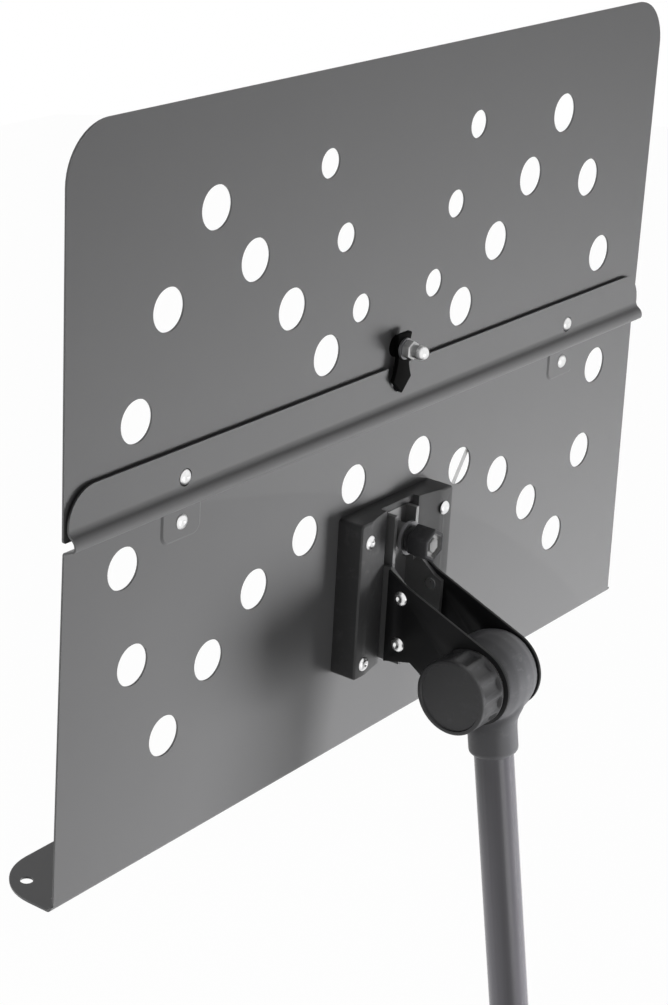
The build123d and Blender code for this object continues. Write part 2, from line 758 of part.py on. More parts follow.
with BuildPart() as clamp_knob:
    with BuildSketch(clamp_plane(clamp_knob_n + clamp_collar)):
        Circle(clamp_knob_radius)
        RegularPolygon(clamp_knob_flats / 2, 6, major_radius=False, mode=Mode.INTERSECT)
    extrude(amount=clamp_knob_length)
    chamfer(faces().sort_by(Axis.Y)[-1].edges(), clamp_knob_bevel)
    cylinder(clamp_plane(clamp_knob_n), clamp_collar_radius, clamp_collar)
    cylinder(clamp_plane(web_n), clamp_stud, clamp_knob_n - web_n)
save(clamp_knob.part, "clamp_knob")

# ---- Tilt head -----------------------------------------------------------------------------------------------
socket_bottom = pivot_height - head_drop
with BuildPart() as tilt_head:
    cylinder(mast_plane(socket_bottom), head_socket_radius, head_drop - head_shoulder)
    chamfer(edges().group_by(Axis.Z)[0], head_chamfer)
    chamfer(edges().group_by(Axis.Z)[-1], head_ledge)
    with BuildSketch(pivot_plane(-head_width / 2)):
        Circle(head_radius)
        Rectangle(2 * head_socket_radius, head_shoulder + head_ledge, align=(Align.CENTER, Align.MAX))
        fillet(vertices().group_by(Axis.Y)[1], neck_blend)
    extrude(amount=head_width)
    with BuildSketch(mast_plane(socket_bottom)):
        Circle(upper_tube_radius + seat)
    extrude(amount=socket_depth, mode=Mode.SUBTRACT)
    with BuildSketch(pivot_plane(-head_width)):
        Circle(tilt_bolt_radius + fit)
    extrude(amount=2 * head_width, mode=Mode.SUBTRACT)
    screw_plane = Plane(origin=(0, mast_y, socket_bottom + socket_depth / 2), z_dir=(0, -1, 0))
    with BuildSketch(screw_plane):
        Circle(head_screw_radius + seat)
    extrude(amount=head_socket_radius + gap, mode=Mode.SUBTRACT)
save(tilt_head.part, "tilt_head")

with BuildPart() as head_screw:
    with BuildSketch(screw_plane.offset(upper_tube_radius + seat)):
        Circle(head_screw_radius)
    extrude(amount=head_socket_radius - upper_tube_radius - head_screw_sink)
    with BuildSketch(screw_plane.offset(head_socket_radius - head_screw_sink)):
        RegularPolygon(head_screw_hex_radius, 6)
    extrude(amount=-head_screw_hex_depth, mode=Mode.SUBTRACT)
save(head_screw.part, "head_screw")

tilt_knob_end = tilt_knob_face - knob_rim - tilt_bolt_short
with BuildPart() as tilt_bolt:
    cylinder(pivot_plane(-arm_outer), tilt_bolt_radius, arm_outer + tilt_knob_end)
    cylinder(pivot_plane(-arm_outer), tilt_bolt_head_radius, -tilt_bolt_head)
    fillet(faces().sort_by(Axis.X)[0].edges(), tilt_bolt_head * 0.7)
save(tilt_bolt.part, "tilt_bolt")

with BuildPart() as friction_washers:
    for side in (1, -1):
        with BuildSketch(pivot_plane(side * (head_width / 2 + face_gap))):
            Circle(friction_washer_radius)
            Circle(tilt_bolt_radius + seat, mode=Mode.SUBTRACT)
        extrude(amount=side * friction_washer)
save(friction_washers.part, "friction_washers")


def fluted_knob(plane, radius, length, rim, flutes, bore):
    """Hand knob: fluted body, smooth rim round its flat face and a blind hole for the bolt."""
    with BuildSketch(plane) as fluted:
        Circle(radius)
        with PolarLocations(radius + knob_flute_radius - knob_flute_depth, flutes):
            Circle(knob_flute_radius, mode=Mode.SUBTRACT)
    extrude(fluted.sketch, amount=length - rim)
    cylinder(plane.offset(length - rim), radius, rim)
    outer = faces().sort_by(lambda f: (f.center() - plane.origin).dot(plane.z_dir))[-1]
    fillet(outer.edges(), knob_rim_round)
    with BuildSketch(plane) as blind:
        Circle(bore)
    extrude(blind.sketch, amount=length - rim - knob_floor, mode=Mode.SUBTRACT)


with BuildPart() as knob_washer_ring:
    cylinder(
        pivot_plane(arm_outer + face_gap), knob_washer_radius, knob_washer, tilt_bolt_radius + seat
    )
save(knob_washer_ring.part, "knob_washer")

tilt_knob_start = arm_outer + knob_washer + 2 * face_gap
with BuildPart() as tilt_knob:
    fluted_knob(
        pivot_plane(tilt_knob_start),
        tilt_knob_radius,
        tilt_knob_face - tilt_knob_start,
        knob_rim,
        knob_flutes,
        tilt_bolt_radius + fit,
    )
save(tilt_knob.part, "tilt_knob")

# ---- Mast tubes and guide bush -------------------------------------------------------------------------------
upper_tube_top = socket_bottom + socket_depth - face_gap
upper_tube_bottom = upper_tube_top - upper_tube_length
lower_tube_inner = lower_tube_radius - tube_wall
stack_top = stack_bottom + 3 * ring_height + 2 * ring_gap
flange_bottom = stack_top + ring_gap
flange_top = flange_bottom + spindle_flange
screw_z = lower_tube_top - clutch_screw_drop

with BuildPart() as upper_tube:
    cylinder(mast_plane(upper_tube_bottom), upper_tube_radius, upper_tube_length, upper_tube_radius - tube_wall)
save(upper_tube.part, "upper_tube")

with BuildPart() as guide_bush:
    cylinder(mast_plane(upper_tube_bottom - face_gap - guide_flange), lower_tube_inner - fit, guide_flange)
    cylinder(mast_plane(upper_tube_bottom - face_gap), upper_tube_radius - tube_wall - fit, guide_plug)
    chamfer(faces().sort_by(Axis.Z)[-1].edges(), 1.0)
    chamfer(faces().sort_by(Axis.Z)[0].edges(), 1.0)
save(guide_bush.part, "guide_bush")

with BuildPart() as lower_tube:
    cylinder(mast_plane(flange_top), lower_tube_radius, lower_tube_top - flange_top, lower_tube_inner)
    with BuildSketch(Plane(origin=(0, mast_y, screw_z), z_dir=(1, 0, 0))):
        Circle(shoe_radius + fit)
    extrude(amount=lower_tube_radius + gap, mode=Mode.SUBTRACT)
save(lower_tube.part, "lower_tube")

# ---- Height clutch -------------------------------------------------------------------------------------------
def clutch_axis(x):
    return Plane(origin=(x, mast_y, screw_z), x_dir=(0, 1, 0), z_dir=(1, 0, 0))


shoe_start = upper_tube_radius + 0.15
shoe_seat = shoe_start + shoe_length + gap
height_knob_start = clutch_boss_reach + gap
with BuildPart() as clutch_housing:
    cylinder(mast_plane(lower_tube_top - clutch_below), clutch_radius, clutch_below + clutch_cap)
    with BuildSketch(clutch_axis(0)):
        Circle(clutch_boss_radius)
    extrude(amount=clutch_boss_reach)
    fillet(faces().sort_by(Axis.Z)[-1].edges().sort_by(Axis.Z)[-1], clutch_top_round)
    fillet(faces().sort_by(Axis.Z)[0].edges(), clutch_bottom_round)
    fillet(faces().sort_by(Axis.X)[-1].edges(), clutch_boss_round)
    with BuildSketch(mast_plane(lower_tube_top - clutch_below)):
        Circle(lower_tube_radius + seat)
    extrude(amount=clutch_below + face_gap, mode=Mode.SUBTRACT)
    with BuildSketch(mast_plane(lower_tube_top)):
        Circle(upper_tube_radius + 2 * gap)
    extrude(amount=clutch_cap, mode=Mode.SUBTRACT)
    with BuildSketch(clutch_axis(lower_tube_radius - tube_wall)):
        Circle(shoe_radius + fit)
    extrude(amount=shoe_seat - lower_tube_radius + tube_wall, mode=Mode.SUBTRACT)
    with BuildSketch(clutch_axis(shoe_seat)):
        Circle(height_stud + fit)
    extrude(amount=clutch_boss_reach, mode=Mode.SUBTRACT)
save(clutch_housing.part, "clutch_housing")

with BuildPart() as clutch_liner:
    liner_bottom = lower_tube_top - liner_length
    cylinder(mast_plane(liner_bottom), lower_tube_inner - seat, liner_length, upper_tube_radius + fit)
    with BuildSketch(clutch_axis(0)):
        Circle(shoe_radius + fit)
    extrude(amount=lower_tube_radius, mode=Mode.SUBTRACT)
save(clutch_liner.part, "clutch_liner")

with BuildPart() as clutch_shoe:
    with BuildSketch(clutch_axis(shoe_start)):
        Circle(shoe_radius)
    extrude(amount=shoe_length)
save(clutch_shoe.part, "clutch_shoe")

with BuildPart() as height_knob:
    fluted_knob(
        clutch_axis(height_knob_start),
        height_knob_radius,
        height_knob_length,
        knob_rim,
        height_knob_flutes,
        height_stud - 1,
    )
    cylinder(
        clutch_axis(shoe_start + shoe_length + face_gap),
        height_stud,
        height_knob_start + height_knob_length / 2 - shoe_start - shoe_length - face_gap,
    )
save(height_knob.part, "height_knob")

# ---- Base: spindle, three stacked leg rings, retaining washer and nut ----------------------------------------
washer_bottom = stack_bottom - ring_gap - washer_height
with BuildPart() as base_spindle:
    cylinder(mast_plane(washer_bottom - nut_height), nut_thread, nut_height + washer_height)
    cylinder(mast_plane(washer_bottom + washer_height), journal_radius, flange_bottom - washer_bottom - washer_height)
    cylinder(mast_plane(flange_bottom), ring_radius, spindle_flange)
    chamfer(edges().filter_by(GeomType.CIRCLE).group_by(SortBy.RADIUS)[-1], spindle_bevel)
    cylinder(mast_plane(flange_top), lower_tube_inner - seat, spigot_length)
save(base_spindle.part, "base_spindle")

with BuildPart() as base_washer:
    cylinder(mast_plane(washer_bottom), washer_radius, washer_height, nut_thread + seat)
save(base_washer.part, "base_washer")

with BuildPart() as base_nut:
    with BuildSketch(mast_plane(washer_bottom - nut_height)):
        RegularPolygon(nut_across / 2, 6, major_radius=False)
        Circle(nut_thread + seat, mode=Mode.SUBTRACT)
    extrude(amount=nut_height)
save(base_nut.part, "base_nut")

for level, (name, angle) in enumerate(leg_angles.items()):
    ring_bottom = stack_bottom + level * (ring_height + ring_gap)
    leg_z = ring_bottom + ring_height / 2
    spot = radial_plane(angle)
    bore = journal_radius + (seat if name == "front" else fit)
    with BuildPart() as leg:
        with BuildLine(spot) as leg_path:
            FilletPolyline(
                (journal_radius + (ring_radius - journal_radius) / 2, leg_z),
                (leg_straight, leg_z),
                (leg_slope_end, leg_tip_height),
                (foot_reach - leg_wall, leg_tip_height),
                radius=leg_bend,
            )
        start = leg_path.line @ 0
        with BuildSketch(Plane(origin=start, x_dir=(0, 0, 1), z_dir=spot.x_dir)):
            RectangleRounded(leg_high, leg_wide, leg_corner)
            RectangleRounded(
                leg_high - 2 * leg_wall, leg_wide - 2 * leg_wall, leg_corner - leg_wall, mode=Mode.SUBTRACT
            )
        sweep()
        with BuildSketch(mast_plane(ring_bottom)):
            Circle(ring_radius)
            Circle(bore, mode=Mode.SUBTRACT)
        extrude(amount=ring_height)
    save(leg.part, f"leg_{name}")

    with BuildPart() as foot:
        foot_plane = Plane(origin=(0, mast_y, 0), x_dir=spot.x_dir, z_dir=(0, 0, 1))
        with BuildSketch(foot_plane):
            with Locations((foot_reach, 0)):
                Circle(foot_radius)
                Rectangle(foot_sleeve, 2 * foot_radius, align=(Align.MAX, Align.CENTER))
        extrude(amount=foot_height)
        fillet(faces().sort_by(Axis.Z)[-1].edges(), foot_round)
        chamfer(faces().sort_by(Axis.Z)[0].edges(), foot_bevel)
        with BuildSketch(Plane(origin=foot_plane.from_local_coords((foot_reach - leg_wall, 0, leg_tip_height)),
                               x_dir=(0, 0, 1), z_dir=-spot.x_dir)):
            RectangleRounded(leg_high + 2 * seat, leg_wide + 2 * seat, leg_corner)
        extrude(amount=2 * foot_sleeve, mode=Mode.SUBTRACT)
    save(foot.part, f"foot_{name}")

# ---- Page wires: sprung wires that turn on shouldered pins by the lip ----------------------------------------
pin_top = wire_front + wire_radius + face_gap
with BuildPart() as page_wire_pins:
    for side in (1, -1):
        spot = (side * wire_pivot_u, wire_pivot_v)
        for start, radius, reach in (
            (-sheet, pivot_weld_radius, wire_front - wire_radius - face_gap - sheet),
            (-sheet, pivot_shank, pin_top - sheet),
            (-pin_top, pivot_head_radius, pivot_head),
        ):
            with BuildSketch(desk_plane(start)):
                with Locations(spot):
                    Circle(radius)
            extrude(amount=-reach)
save(page_wire_pins.part, "page_wire_pins")

for hand, side in hands.items():
    # each wire has its own plane at the pin, turned down for the wire that is folded away
    turn = wire_fold if hand == "right" else 0
    pin = desk_plane(-wire_front).from_local_coords((side * wire_pivot_u, wire_pivot_v, 0))
    along = Vector(-cos(radians(turn)), 0, 0) - UP_DESK * side * sin(radians(turn))
    wire_plane = Plane(origin=pin, x_dir=along, z_dir=BACK)
    knee = (side * (wire_knee[0] - wire_pivot_u), wire_knee[1] - wire_pivot_v)
    end_u = knee[0] + side * wire_length * cos(radians(wire_heading))
    end_v = knee[1] + wire_length * sin(radians(wire_heading))
    with BuildPart() as wire:
        with BuildLine(wire_plane) as wire_path:
            CenterArc((0, 0), wire_eye, 90, -side * 270)
            FilletPolyline((-side * wire_eye, 0), knee, (end_u, end_v), radius=wire_bend)
        with BuildSketch(Plane(origin=wire_path.line @ 0, z_dir=wire_path.line % 0)):
            Circle(wire_radius)
        sweep()
    save(wire.part, f"page_wire_{hand}")
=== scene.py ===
"""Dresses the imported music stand: finishes, moulded pieces, fasteners, a studio and its camera."""

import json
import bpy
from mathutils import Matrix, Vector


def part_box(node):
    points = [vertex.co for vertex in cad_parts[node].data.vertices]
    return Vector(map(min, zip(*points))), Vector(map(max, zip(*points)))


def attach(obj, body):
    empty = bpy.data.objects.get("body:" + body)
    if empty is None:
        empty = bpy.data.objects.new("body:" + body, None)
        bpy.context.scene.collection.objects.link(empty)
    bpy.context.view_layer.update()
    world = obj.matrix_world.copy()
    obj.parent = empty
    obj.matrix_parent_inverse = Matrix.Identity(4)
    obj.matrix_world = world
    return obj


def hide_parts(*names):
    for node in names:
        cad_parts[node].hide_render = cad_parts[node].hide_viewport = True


bl_info = {
    "name": "Orchestra Music Stand",
    "version": (1, 0, 0),
    "blender": (4, 5, 0),
    "location": "3D View > Sidebar > Music Stand",
    "description": "Adds the finishes, moulded details and studio of a folding orchestra music stand",
    "category": "Add Mesh",
}

from math import atan2, cos, pi, radians, sin

import bpy
from mathutils import Matrix, Vector

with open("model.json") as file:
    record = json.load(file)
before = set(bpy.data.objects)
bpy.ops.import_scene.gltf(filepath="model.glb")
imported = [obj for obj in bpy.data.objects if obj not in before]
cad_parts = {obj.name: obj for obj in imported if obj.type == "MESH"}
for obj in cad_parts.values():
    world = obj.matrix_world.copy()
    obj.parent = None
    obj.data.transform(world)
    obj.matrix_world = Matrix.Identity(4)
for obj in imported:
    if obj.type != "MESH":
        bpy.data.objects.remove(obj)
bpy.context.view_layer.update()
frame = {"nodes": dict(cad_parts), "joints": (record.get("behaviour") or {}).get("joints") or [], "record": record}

MM = 0.001
SHARP = radians(38.0)  # edges sharper than this are bevelled
SMOOTH = radians(32.0)  # faces that meet at less than this are shaded as one
DESK_LEAN = radians(9.0)
BACK = Vector((0.0, cos(DESK_LEAN), -sin(DESK_LEAN)))
JOINTS = {joint["name"]: joint for joint in frame["joints"]}
PIVOT = Vector(JOINTS["desk_tilt"]["pos_m"])
ACROSS = Vector((1.0, 0.0, 0.0))
BODY_OF = {node: body for body, nodes in frame["record"]["behaviour"]["bodies"].items() for node in nodes}


# ---- Materials ---------------------------------------------------------------------------------------------


class Term:
    """A number inside a material. Arithmetic on it adds Math nodes."""

    def __init__(self, finish, socket):
        self.finish = finish
        self.socket = socket

    def _math(self, operation, first, second=0.0, clamp=False):
        settings = {"operation": operation, "use_clamp": clamp}
        node = self.finish.node("ShaderNodeMath", settings, {0: first, 1: second})
        return Term(self.finish, node.outputs[0])

    def __add__(self, other):
        return self._math("ADD", self, other)

    def __radd__(self, other):
        return self._math("ADD", other, self)

    def __sub__(self, other):
        return self._math("SUBTRACT", self, other)

    def __rsub__(self, other):
        return self._math("SUBTRACT", other, self)

    def __mul__(self, other):
        return self._math("MULTIPLY", self, other)

    def __rmul__(self, other):
        return self._math("MULTIPLY", other, self)

    def __truediv__(self, other):
        return self._math("DIVIDE", self, other)

    def clamped(self):
        return self._math("ADD", self, 0.0, clamp=True)

    def step_over(self, edge, width):
        """0 below the edge, 1 above it, with a soft change of the given width."""
        return ((self - edge) / width + 0.5).clamped()


class Finish:
    """One procedural material on object coordinates."""

    def __init__(self, name):
        self.material = bpy.data.materials.new(name)
        self.material.use_nodes = True
        self.tree = self.material.node_tree
        self.shader = self.tree.nodes["Principled BSDF"]
        self.place = self.node("ShaderNodeTexCoord").outputs["Object"]

    def node(self, kind, settings=None, sockets=None):
        node = self.tree.nodes.new(kind)
        for key, value in (settings or {}).items():
            setattr(node, key, value)
        for key, value in (sockets or {}).items():
            self.feed(node.inputs[key], value)
        return node

    def feed(self, socket, value):
        if isinstance(value, Term):
            self.tree.links.new(value.socket, socket)
        elif isinstance(value, bpy.types.NodeSocket):
            self.tree.links.new(value, socket)
        else:
            socket.default_value = value

    def noise(self, scale, detail=2.0, roughness=0.5, stretch=None):
        """Noise with its scale in cells per metre."""
        place = self.place
        if stretch:
            place = self.node("ShaderNodeMapping", None, {"Vector": place, "Scale": stretch}).outputs[0]
        sockets = {"Vector": place, "Scale": scale, "Detail": detail, "Roughness": roughness}
        return Term(self, self.node("ShaderNodeTexNoise", None, sockets).outputs[0])

    def axis(self, letter):
        """One object coordinate, in metres."""
        node = self.node("ShaderNodeSeparateXYZ", None, {0: self.place})
        return Term(self, node.outputs["XYZ".index(letter)])

    def blend(self, factor, first, second):
        """Mix of two colours."""
        sockets = {0: factor, 6: self._colour(first), 7: self._colour(second)}
        return self.node("ShaderNodeMix", {"data_type": "RGBA"}, sockets).outputs[2]

    def _colour(self, value):
        return (*value, 1.0) if isinstance(value, (tuple, list)) and len(value) == 3 else value

    def bump(self, height, strength, distance):
        sockets = {"Height": height, "Strength": strength, "Distance": distance}
        return self.node("ShaderNodeBump", None, sockets).outputs[0]

    def finish(self, **sockets):
        names = {"colour": "Base Color", "gloss": "Specular IOR Level"}
        for key, value in sockets.items():
            self.feed(self.shader.inputs[names.get(key, key.capitalize())], self._colour(value))
        return self.material


def powder_coat(name, colour, mottle=0.12, roughness=0.46, grain=0.25, gloss=0.5):
    """Thin satin coat: faint clouds in its tone and a very fine orange peel."""
    coat = Finish(name)
    clouds = coat.noise(scale=14.0, detail=3.0, roughness=0.55)
    patches = coat.noise(scale=55.0)
    tone = (clouds - 0.5) * mottle * 2.0 + (patches - 0.5) * mottle + 0.5
    dark = tuple(c * (1.0 - mottle) for c in colour)
    light = tuple(min(1.0, c * (1.0 + mottle)) for c in colour)
    peel = coat.noise(scale=1900.0, roughness=0.55)
    return coat.finish(
        colour=coat.blend(tone.clamped(), dark, light),
        roughness=(clouds - 0.5) * 0.12 + roughness,
        gloss=gloss,
        normal=coat.bump(peel, strength=grain, distance=0.00006),
    )


def moulded(name, colour, roughness=0.5, grain=0.3, wear=0.35, gloss=0.5):
    """Moulded nylon: fine spark texture with dusty, paler scuffs."""
    skin = Finish(name)
    scuff = skin.noise(scale=160.0, detail=4.0, roughness=0.7)
    dust = skin.noise(scale=30.0)
    mask = (scuff.step_over(0.62, 0.16) * dust.step_over(0.48, 0.3) * wear).clamped()
    pale = tuple(min(1.0, c * 2.2 + 0.02) for c in colour)
    spark = skin.noise(scale=2600.0, detail=1.0)
    return skin.finish(
        colour=skin.blend(mask, colour, pale),
        roughness=(dust - 0.5) * 0.14 + roughness,
        gloss=gloss,
        normal=skin.bump(spark, strength=grain, distance=0.00005),
    )


def bright_metal(name, colour, roughness=0.3):
    """Plated steel: clear metal with fine handling marks and slightly duller clouds."""
    plate = Finish(name)
    clouds = plate.noise(scale=150.0, detail=3.0, roughness=0.6)
    lines = plate.noise(scale=1400.0)
    dull = tuple(c * 0.84 for c in colour)
    return plate.finish(
        colour=plate.blend(clouds.step_over(0.56, 0.3), colour, dull),
        metallic=1.0,
        roughness=(lines - 0.5) * 0.1 + (clouds - 0.5) * 0.12 + roughness,
        normal=plate.bump(lines, strength=0.05, distance=0.00002),
    )


def drawn_tube(name, colour, roughness):
    """Drawn steel tube under a thin tinted coat: long faint lines along its axis."""
    tube = Finish(name)
    lines = tube.noise(scale=420.0, detail=3.0, roughness=0.6, stretch=(1.0, 1.0, 0.02))
    clouds = tube.noise(scale=24.0, detail=3.0, roughness=0.6, stretch=(1.0, 1.0, 0.3))
    dark = tuple(c * 0.82 for c in colour)
    light = tuple(c * 1.16 for c in colour)
    return tube.finish(
        colour=tube.blend(((lines - 0.5) * 0.7 + clouds).clamped(), dark, light),
        roughness=(lines - 0.5) * 0.1 + (clouds - 0.5) * 0.1 + roughness,
        normal=tube.bump(lines, strength=0.1, distance=0.00003),
    )


def rubber(name, colour):
    """Black rubber, dustier towards the floor."""
    sole = Finish(name)
    dust = sole.noise(scale=60.0, detail=4.0, roughness=0.6)
    pores = sole.noise(scale=1500.0, roughness=0.6)
    low = 1.0 - sole.axis("Z").step_over(edge=0.006, width=0.01)
    pale = tuple(c * 3.0 + 0.02 for c in colour)
    return sole.finish(
        colour=sole.blend((dust.step_over(0.5, 0.4) * (low * 0.5 + 0.25)).clamped(), colour, pale),
        roughness=(dust - 0.5) * 0.15 + 0.72,
        normal=sole.bump(pores, strength=0.35, distance=0.00008),
    )


def natural_nylon(name, colour):
    """Uncoloured nylon with slightly yellowed clouds."""
    plain = Finish(name)
    clouds = plain.noise(scale=70.0, detail=3.0)
    yellowed = (colour[0] * 0.9, colour[1] * 0.86, colour[2] * 0.76)
    return plain.finish(
        colour=plain.blend(clouds, colour, yellowed),
        roughness=(clouds - 0.5) * 0.1 + 0.42,
        normal=plain.bump(plain.noise(scale=1200.0), strength=0.15, distance=0.00004),
    )


# ---- Sizes and colours a user would change -----------------------------------------------------------------


def colour_property(name, description, default):
    """A plain colour in the panel."""
    return bpy.props.FloatVectorProperty(
        name=name, description=description, default=default, size=3, min=0.0, max=1.0, subtype="COLOR"
    )


class StandFinishes(bpy.types.PropertyGroup):
    desk: colour_property("Desk coat", "Powder coat of the two desk panels", (0.15, 0.15, 0.152))
    arm: colour_property("Arm coat", "Coat of the two arm plates", (0.012, 0.012, 0.013))
    # Painted light: the bracket coat is paler than the desk coat, so that the bracket's web, which lies in shade,
    # shows light grey.
    bracket: colour_property("Bracket coat", "Coat of the folded bracket between the arms", (0.2, 0.2, 0.202))
    latch: colour_property("Latch coat", "Coat of the turning latch plate and its spacer", (0.001, 0.001, 0.001))
    dock: colour_property("Dock", "Moulded dock on the lower panel", (0.06, 0.06, 0.061))
    head: colour_property("Tilt head", "Moulded head on top of the mast", (0.09, 0.09, 0.096))
    knob: colour_property("Tilt knob", "Large fluted hand knob", (0.036, 0.036, 0.038))
    small_knob: colour_property("Small knobs", "Both small knobs and the clutch housing", (0.016, 0.016, 0.018))
    plated: colour_property("Plated steel", "Rivets, washers and other bright fasteners", (0.9, 0.9, 0.9))
    tube: colour_property("Upper tube", "Tinted coat of the sliding tube", (0.115, 0.111, 0.125))
    base: colour_property("Base coat", "Lower tube, legs and spindle", (0.03, 0.03, 0.033))
    nylon: colour_property("Nylon", "Bushes and the clutch shoe", (0.62, 0.6, 0.54))
    rubber: colour_property("Feet", "Rubber feet", (0.02, 0.02, 0.021))


class StandShapes(bpy.types.PropertyGroup):
    knob_radius: bpy.props.FloatProperty(
        name="Knob radius",
        description="Outer radius of the tilt knob",
        default=0.0192,
        min=0.01,
        max=0.03,
        unit="LENGTH",
    )
    knob_flutes: bpy.props.IntProperty(
        name="Knob flutes", description="Finger hollows round the tilt knob", default=12, min=6, max=20
    )
    knob_flute_depth: bpy.props.FloatProperty(
        name="Flute depth",
        description="Depth of each finger hollow",
        default=0.0017,
        min=0.0,
        max=0.003,
        unit="LENGTH",
    )


class StandStudio(bpy.types.PropertyGroup):
    lens: bpy.props.FloatProperty(
        name="Lens",
        description="Focal length for a frame 36 mm high",
        default=84.271,
        min=20.0,
        max=200.0,
        unit="CAMERA",
    )
    camera_place: bpy.props.FloatVectorProperty(
        name="Camera place",
        description="Where the camera stands",
        default=(0.89408, 0.68344, 1.2474),
        unit="LENGTH",
    )
    camera_turn: bpy.props.FloatVectorProperty(
        name="Camera turn",
        description="How the camera is turned",
        default=(radians(73.6049), radians(4.2658), radians(127.03)),
        subtype="EULER",
        unit="ROTATION",
    )
    key_power: bpy.props.FloatProperty(
        name="Key light",
        description="Power of the low light behind the desk",
        default=6.4,
        min=0.0,
        unit="POWER",
    )
    fill_power: bpy.props.FloatProperty(
        name="Front light",
        description="Power of the light on the reader's side",
        default=42.0,
        min=0.0,
        unit="POWER",
    )
    strip_power: bpy.props.FloatProperty(
        name="Strip light",
        description="Power of the low light that shines in the mast",
        default=1.2,
        min=0.0,
        unit="POWER",
    )
    room_light: bpy.props.FloatProperty(
        name="Room light", description="Even light from all round", default=0.1, min=0.0, max=2.0
    )


# ---- Sizes of the modelled pieces, in millimetres ----------------------------------------------------------

SAME_PLACE = 0.002 * MM  # vertices nearer than this are merged, in metres
FLAT = radians(1.0)  # faces that meet at less than this become one
EASED_EDGES = {"dock": 0.7, "arm_plate_left": 0.5, "arm_plate_right": 0.5, "latch_plate": 0.3}

KNOB_HOLLOW = (0.0, 0.35, 0.72, 0.94, 1.0, 0.94, 0.72, 0.35)  # depth across one finger hollow, as a share
KNOB_FOOT = (0.8, 1.8)  # above the knob's foot: the hollows start and are full
KNOB_SHOULDER = (3.6, 2.6)  # below the knob's face: the hollows are still full and end
KNOB_RIM = 2.0  # flat rim round the face
KNOB_STEP = 0.4  # slope between the rim and the sunk face
KNOB_SINK = 0.8
KNOB_FACE = 8.0  # ring of the sunk face round its middle
KNOB_ROUND = 0.9

HEAD_AIR = 0.1  # from the head's flat side to the outer face of the friction washer
HEAD_EDGE = ((0.0, -1.0), (0.4, -0.3), (1.2, 0.0))  # (in from the flat side, radius past the head's)
HEAD_CROWN = (1.7, 2.2)  # radius past the head's, a quarter across and in the middle
NECK_FOOT = 2.3  # chamfer at the socket's lower end
NECK = (  # (height from the pivot, width across, width along), the widths as shares of the socket's
    (-30.0, 1.0, 1.0),
    (-26.5, 0.99, 1.01),
    (-23.0, 0.94, 1.07),
    (-19.5, 0.87, 1.22),
    (-15.5, 0.84, 1.42),
    (-11.0, 0.83, 1.57),
    (-6.0, 0.82, 1.62),
)
HEAD_VOXEL = 0.6
HEAD_SMOOTHING = 18
HEAD_SMOOTH = radians(40.0)
BORE_RADIUS = 10.02
BORE_DEPTH = 24.0
WASHER_SEAT_AIR = 0.15
WASHER_SEAT_DEPTH = 1.45
PAST = 2.0  # how far a cutting tool reaches out of a piece

NUT_RADIUS = 4.9
NUT_LENGTH = 4.4
NUT_EDGE = 0.4
NUT_TOP_RADIUS = 4.4
NUT_ROUND = 0.25
NUT_NECK_RADIUS = 3.2
NUT_NECK_START = 1.0
NUT_NECK_END = 7.4
DOME_RADIUS = 3.55
DOME_EDGE = 0.3
DOME_START = 8.8

CLAMP_GRIP = 11.4
CLAMP_RADIUS = 8.9
CLAMP_BEVEL = 0.8
CLAMP_EDGE = (0.6, 0.5)  # how much smaller the grip is at its foot and at its end
CLAMP_END = ((1.5, 0.5, -1.8), (1.6, 0.4, 1.2))  # (flat ring, slope, rise): the hollow, then its core
CLAMP_ROUND = 0.45
CLAMP_STUD = 2.9
CLAMP_OVERLAP = 0.5  # how far the collar reaches into the grip
STUD_TIP = 0.4
CLAMP_COLLAR = (6.8, 7.2)  # radius of the collar at its ends
CLAMP_COLLAR_LENGTH = 2.6
CLAMP_HIGHLIGHT_END = (6.6, 2.2, 0.3)  # painted highlight: the end is painted pale inside this radius, between these depths below the end

FLOOR_SIZE = 14.0  # metres
FLOOR_SHOWN = 0.98  # share of plain white in the floor where it is seen


# ---- Shared modelling steps --------------------------------------------------------------------------------


def deselect():
    """Leaves edit mode with no object selected."""
    if bpy.context.object and bpy.context.object.mode != "OBJECT":
        bpy.ops.object.mode_set(mode="OBJECT")
    bpy.ops.object.select_all(action="DESELECT")


def edit(piece, select_mode="FACE"):
    """Enters edit mode with nothing selected."""
    deselect()
    piece.select_set(True)
    bpy.context.view_layer.objects.active = piece
    bpy.ops.object.mode_set(mode="EDIT")
    bpy.ops.mesh.select_mode(type=select_mode)
    bpy.ops.mesh.select_all(action="DESELECT")


def pick(piece, test, kind="polygons"):
    """Selects the vertices, edges or faces of a piece in edit mode that pass a test."""
    bpy.ops.object.mode_set(mode="OBJECT")
    mesh = piece.data
    for group in (mesh.vertices, mesh.edges, mesh.polygons):
        group.foreach_set("select", [False] * len(group))
    for item in getattr(mesh, kind):
        if kind == "vertices":
            item.select = test(item.co)
        elif kind == "edges":
            item.select = test(*(mesh.vertices[index].co for index in item.vertices))
        else:
            item.select = test(item)
    bpy.ops.object.mode_set(mode="EDIT")


def add_cylinder(name, radius, low, high, vertices=96):
    """A cylinder on the Z axis, in millimetres, as the start of a piece."""
    deselect()
    bpy.ops.mesh.primitive_cylinder_add(
        vertices=vertices, radius=radius, depth=high - low, location=(0.0, 0.0, (low + high) / 2)
    )
    piece = bpy.context.object
    piece.name = name
    bpy.ops.object.transform_apply(location=True, rotation=True, scale=True)
    return piece


